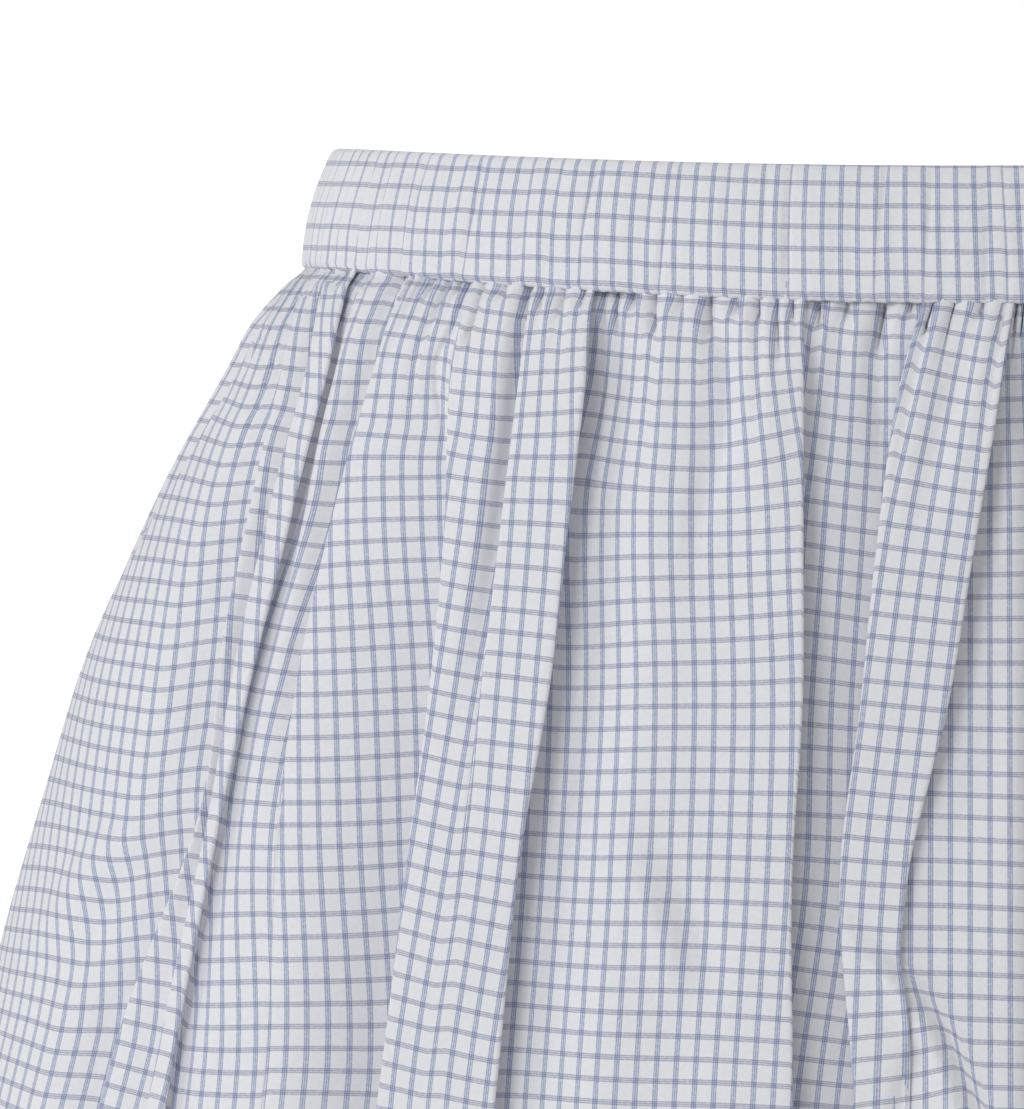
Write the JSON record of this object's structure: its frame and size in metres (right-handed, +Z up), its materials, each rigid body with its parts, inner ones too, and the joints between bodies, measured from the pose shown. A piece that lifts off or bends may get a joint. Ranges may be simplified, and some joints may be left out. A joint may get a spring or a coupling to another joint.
{
  "type": "ruffled mini skirt",
  "caption": "Gathered mini skirt of thin checked cloth, filled out as when worn, its folds falling from a puckered elastic waistband.",
  "frame": {"origin": "centre of the waist, half way up the waistband at the side seams", "axes": "+Z up, the front of the skirt faces -Y, X runs from side seam to side seam"},
  "size_m": [0.4762, 0.3224, 0.3659],
  "materials": {
    "casing_cloth": "matt poplin with a woven check, puckered over elastic",
    "skirt_cloth": "matt poplin with a woven check"
  },
  "bodies": {
    "root": {"waistband_front": "casing_cloth", "waistband_back": "casing_cloth", "skirt_front": "skirt_cloth", "skirt_back": "skirt_cloth"}
  },
  "joints": []
}
